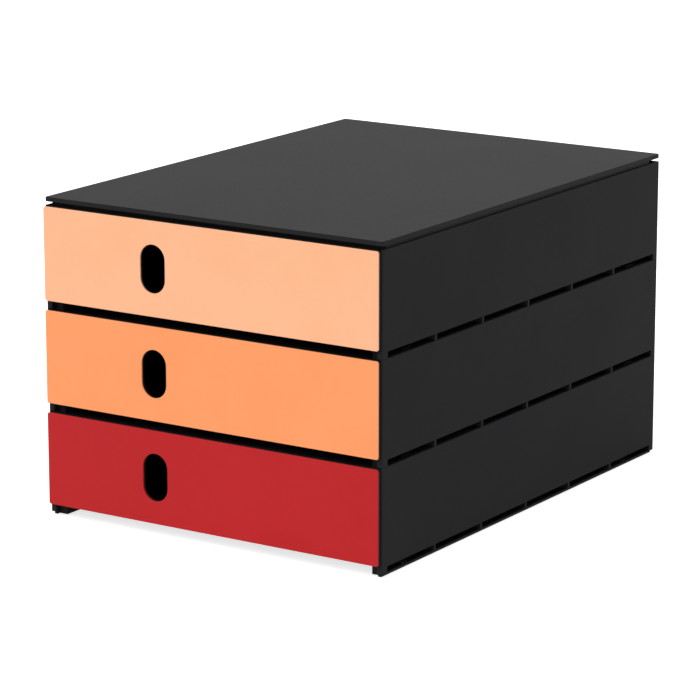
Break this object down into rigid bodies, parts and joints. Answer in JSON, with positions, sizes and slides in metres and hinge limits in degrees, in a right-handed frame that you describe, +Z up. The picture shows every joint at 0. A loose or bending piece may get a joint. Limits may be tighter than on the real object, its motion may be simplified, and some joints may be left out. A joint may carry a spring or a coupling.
{
  "type": "letter tray stack with drawers",
  "caption": "Desk organizer: stacked black plastic housings under a flat cover, each with a full-width pull-out drawer that has a coloured front and an upright finger hole.",
  "frame": {"origin": "on the surface that the stack stands on, below the middle of its bounding box", "axes": "+Z up, the drawers open towards -Y, +X to the right of someone who faces the drawers"},
  "size_m": [0.243, 0.334, 0.2],
  "materials": {
    "housing_plastic": "fine matt moulding grain",
    "tray_plastic": "fine matt moulding grain",
    "cover_plastic": "fine matt moulding grain",
    "clip_plastic": "smooth",
    "front_peach": "smooth satin",
    "front_orange": "smooth satin",
    "front_red": "smooth satin",
    "foot_rubber": "matt"
  },
  "bodies": {
    "stack": {"housing_bottom": "housing_plastic", "housing_middle": "housing_plastic", "housing_top": "housing_plastic", "connector_clips_lower": "clip_plastic", "connector_clips_upper": "clip_plastic", "connector_clips_cover": "clip_plastic", "top_cover": "cover_plastic", "rubber_foot_front_left": "foot_rubber", "rubber_foot_front_right": "foot_rubber", "rubber_foot_rear_left": "foot_rubber", "rubber_foot_rear_right": "foot_rubber"},
    "drawer_bottom": {"drawer_tray_bottom": "tray_plastic", "drawer_front_bottom": "front_red"},
    "drawer_middle": {"drawer_tray_middle": "tray_plastic", "drawer_front_middle": "front_orange"},
    "drawer_top": {"drawer_tray_top": "tray_plastic", "drawer_front_top": "front_peach"}
  },
  "joints": [
    {"name": "drawer_bottom_slide", "type": "slide", "parent": "stack", "child": "drawer_bottom", "axis": [0, -1, 0], "range_m": [0, 0.25]},
    {"name": "drawer_middle_slide", "type": "slide", "parent": "stack", "child": "drawer_middle", "axis": [0, -1, 0], "range_m": [0, 0.25]},
    {"name": "drawer_top_slide", "type": "slide", "parent": "stack", "child": "drawer_top", "axis": [0, -1, 0], "range_m": [0, 0.25]}
  ]
}
